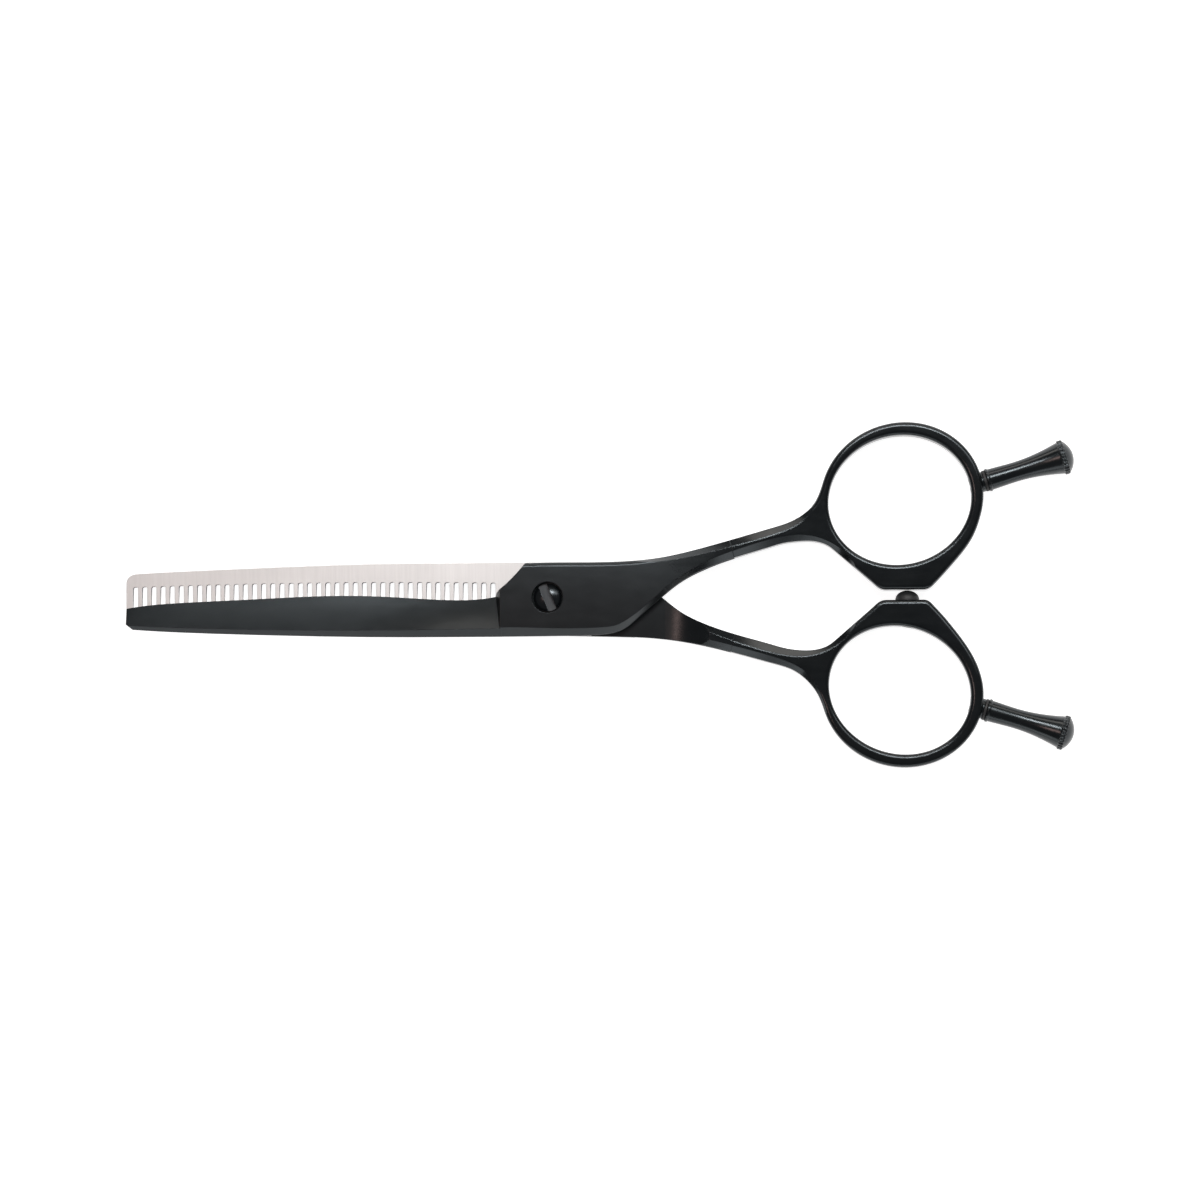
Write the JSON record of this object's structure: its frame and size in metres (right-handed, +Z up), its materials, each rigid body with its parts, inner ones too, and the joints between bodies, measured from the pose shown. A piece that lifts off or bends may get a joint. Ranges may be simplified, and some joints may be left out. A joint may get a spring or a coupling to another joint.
{
  "type": "thinning shears",
  "caption": "Hairdresser's thinning shears: a slotted comb blade and a straight cutting blade on a tension screw, offset finger rings with screw-in finger rests and a rubber bumper.",
  "frame": {"origin": "on the pivot screw's axis, on the flat underside of the pivot, where the closed shears rest", "axes": "+X from the pivot towards the finger rings, along the closed tool; +Z up along the pivot axis towards the screw head; +Y towards the ring of the cutting half"},
  "size_m": [0.1546, 0.0561, 0.0058],
  "materials": {
    "black_coated_steel": "black coating over polished steel, satin-gloss",
    "bare_blade_steel": "fine-ground bare blade steel on the ride face, black coated outside",
    "black_screw_steel": "black coating over turned steel, gloss",
    "nylon": "matt black nylon",
    "rubber": "soft matt black rubber"
  },
  "bodies": {
    "comb_half": {"comb_blade": "bare_blade_steel", "lower_handle": "black_coated_steel", "bumper": "rubber"},
    "cutting_half": {"cutting_blade": "black_coated_steel", "upper_handle": "black_coated_steel"},
    "screw_lift": {"screw_washer": "nylon"},
    "tension_screw": {"pivot_screw": "black_screw_steel", "locking_plug": "nylon"},
    "upper_rest_lift": {"upper_rest_washer": "rubber"},
    "upper_rest": {"upper_finger_rest": "black_screw_steel"},
    "lower_rest_lift": {"lower_rest_washer": "rubber"},
    "lower_rest": {"lower_finger_rest": "black_screw_steel"}
  },
  "joints": [
    {"name": "blade_pivot", "type": "hinge", "parent": "comb_half", "child": "cutting_half", "pos_m": [0, 0, 0.00293], "axis": [0, 0, 1], "range_deg": [0, 140]},
    {"name": "screw_rise", "type": "slide", "parent": "comb_half", "child": "screw_lift", "axis": [0, 0, 1], "range_m": [0, 0.0025]},
    {"name": "screw_turn", "type": "hinge", "parent": "screw_lift", "child": "tension_screw", "pos_m": [0, 0, 0.00293], "axis": [0, 0, 1], "range_deg": [0, 1800]},
    {"name": "upper_rest_out", "type": "slide", "parent": "cutting_half", "child": "upper_rest_lift", "axis": [0.9593, 0.2823, 0], "range_m": [0, 0.0018]},
    {"name": "upper_rest_turn", "type": "hinge", "parent": "upper_rest_lift", "child": "upper_rest", "pos_m": [0.0715, 0.01855, 0.00293], "axis": [0.9593, 0.2823, 0], "range_deg": [0, 1440]},
    {"name": "lower_rest_out", "type": "slide", "parent": "comb_half", "child": "lower_rest_lift", "axis": [0.9568, -0.2907, 0], "range_m": [0, 0.0018]},
    {"name": "lower_rest_turn", "type": "hinge", "parent": "lower_rest_lift", "child": "lower_rest", "pos_m": [0.07116, -0.01877, 0.00293], "axis": [0.9568, -0.2907, 0], "range_deg": [0, 1440]}
  ],
  "couplings": [
    {"joint": "screw_turn", "follows": "screw_rise", "rad_per_m": 12566},
    {"joint": "upper_rest_turn", "follows": "upper_rest_out", "rad_per_m": 13963},
    {"joint": "lower_rest_turn", "follows": "lower_rest_out", "rad_per_m": 13963}
  ]
}
